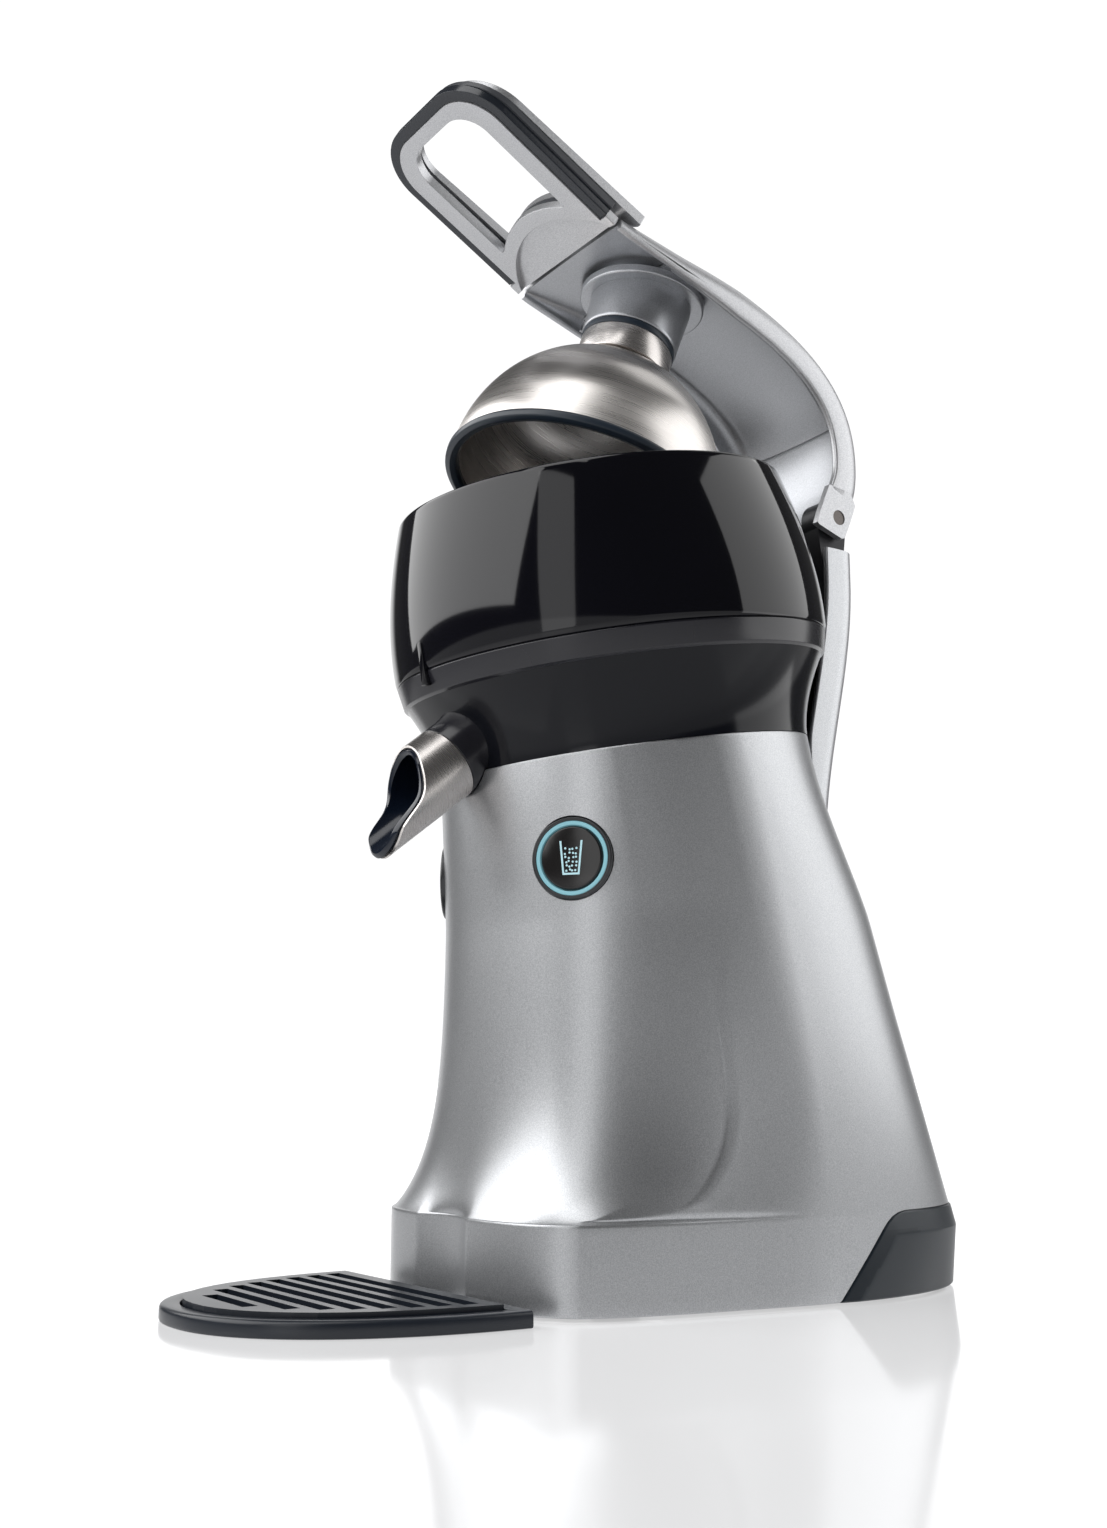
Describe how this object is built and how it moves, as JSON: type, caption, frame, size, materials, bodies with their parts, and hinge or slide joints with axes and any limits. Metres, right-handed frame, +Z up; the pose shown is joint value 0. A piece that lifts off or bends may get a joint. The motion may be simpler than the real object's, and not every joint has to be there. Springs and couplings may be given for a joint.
{
  "type": "citrus press juicer",
  "caption": "Tall electric citrus press with a hinged lever arm and loop grip, steel press dome, black juice bowl, reamer, turning spout, press buttons and drip tray.",
  "frame": {"origin": "middle of the whole object's footprint, on the surface it stands on", "axes": "+Z up, +Y to the back (the hinge side), -Y to the front (the spout and drip tray side), +X to the right of someone standing at the front and looking at the spout"},
  "size_m": [0.1774, 0.3252, 0.4682],
  "materials": {
    "satin_silver_shell": "satin silver paint",
    "silver_casting": "satin cast aluminium",
    "silver_inner_plastic": "satin silver paint",
    "slate_foot_plastic": "satin blue-grey",
    "black_plate_plastic": "fine matte",
    "foot_rubber": "matte",
    "bright_steel": "polished steel",
    "brushed_steel": "brushed steel",
    "plated_steel": "plated steel",
    "hinge_black_metal": "black coated steel",
    "bearing_bronze": "oiled bronze",
    "washer_plastic": "matte",
    "lower_grip_plastic": "gloss black",
    "upper_grip_plastic": "soft dark grey",
    "gasket_rubber": "matte",
    "seal_rubber": "satin black rubber",
    "black_gloss_plastic": "gloss black",
    "strainer_steel": "satin steel",
    "reamer_plastic": "gloss black",
    "liner_plastic": "gloss black with a light lip",
    "gear_plastic": "natural acetal",
    "motor_can_metal": "zinc coated steel",
    "magnet_ceramic": "dull ceramic",
    "rotor_windings": "laminated steel and varnished copper",
    "gear_plate_metal": "zinc coated steel",
    "button_bezel_plastic": "gloss dark grey",
    "button_light_plastic": "translucent blue diffuser",
    "button_cap_plastic": "gloss black",
    "carrier_plastic": "matte",
    "switch_plastic": "matte",
    "board_laminate": "solder mask green",
    "tray_plastic": "gloss black",
    "grille_plastic": "satin black"
  },
  "bodies": {
    "base": {"housing": "satin_silver_shell", "base_plate": "black_plate_plastic", "rubber_feet": "foot_rubber", "base_screws": "plated_steel", "rear_foot_cover": "slate_foot_plastic", "spine_cover": "satin_silver_shell", "hinge_frame": "hinge_black_metal", "hinge_bushes": "bearing_bronze", "hinge_washers": "washer_plastic", "hinge_screws": "plated_steel", "collector": "black_gloss_plastic", "collector_ring": "black_gloss_plastic", "bowl": "black_gloss_plastic", "strainer": "strainer_steel", "spout_collar": "black_gloss_plastic", "shaft_bush": "bearing_bronze", "shaft_seal": "gasket_rubber", "middle_axle": "plated_steel", "motor_can": "motor_can_metal", "motor_magnets": "magnet_ceramic", "motor_end_cap": "motor_can_metal", "gear_plate_upper": "gear_plate_metal", "gear_plate_lower": "gear_plate_metal", "gearbox_pillars": "plated_steel", "button_bezels": "button_bezel_plastic", "button_light_rings": "button_light_plastic", "button_carriers": "carrier_plastic", "micro_switches": "switch_plastic", "control_board": "board_laminate", "cord_gland": "gasket_rubber"},
    "press_arm": {"lever_arm": "silver_casting", "arm_inner_cover": "silver_inner_plastic", "hinge_pin": "bright_steel", "handle_frame": "silver_casting", "handle_lower_grip": "lower_grip_plastic", "handle_upper_grip": "upper_grip_plastic", "handle_cover": "silver_inner_plastic", "press_sleeve": "silver_inner_plastic", "dome_gasket": "gasket_rubber", "dome_neck": "bright_steel", "dome_screw": "plated_steel", "press_dome": "bright_steel", "dome_rim_seal": "seal_rubber"},
    "reamer_drive": {"reamer": "reamer_plastic", "drive_shaft": "plated_steel", "output_gear": "gear_plastic"},
    "middle_gear_set": {"middle_gear": "gear_plastic"},
    "rotor": {"motor_rotor": "rotor_windings"},
    "button_left": {"button_cap_left": "button_cap_plastic"},
    "button_right": {"button_cap_right": "button_cap_plastic"},
    "spout": {"spout_sleeve": "brushed_steel", "spout_liner": "liner_plastic"},
    "tray": {"drip_tray": "tray_plastic", "tray_grille": "grille_plastic"}
  },
  "joints": [
    {"name": "arm_hinge", "type": "hinge", "parent": "base", "child": "press_arm", "pos_m": [0, 0.1094, 0.3174], "axis": [1, 0, 0], "range_deg": [-35, 28.33]},
    {"name": "reamer_spin", "type": "hinge", "parent": "base", "child": "reamer_drive", "pos_m": [0, 0.022, 0.2069], "axis": [0, -0.1623, 0.9867], "continuous": true},
    {"name": "middle_gear_spin", "type": "hinge", "parent": "base", "child": "middle_gear_set", "pos_m": [0, 0.05752, 0.21274], "axis": [0, -0.1623, 0.9867], "continuous": true},
    {"name": "rotor_spin", "type": "hinge", "parent": "base", "child": "rotor", "pos_m": [0, 0.022, 0.2069], "axis": [0, -0.1623, 0.9867], "continuous": true},
    {"name": "spout_turn", "type": "hinge", "parent": "base", "child": "spout", "pos_m": [0, -0.062, 0.1978], "axis": [0, -0.788, -0.6157], "range_deg": [0, 180]},
    {"name": "tray_slide", "type": "slide", "parent": "base", "child": "tray", "axis": [0, -1, 0], "range_m": [0, 0.06]},
    {"name": "button_left_press", "type": "slide", "parent": "base", "child": "button_left", "axis": [0.6143, 0.7891, 0], "range_m": [0, 0.0015], "stiffness_N_per_m": 800, "springref_m": -0.001},
    {"name": "button_right_press", "type": "slide", "parent": "base", "child": "button_right", "axis": [-0.6143, 0.7891, 0], "range_m": [0, 0.0015], "stiffness_N_per_m": 800, "springref_m": -0.001}
  ],
  "couplings": [
    {"joint": "middle_gear_spin", "follows": "reamer_spin", "ratio": -3},
    {"joint": "rotor_spin", "follows": "reamer_spin", "ratio": 9}
  ]
}
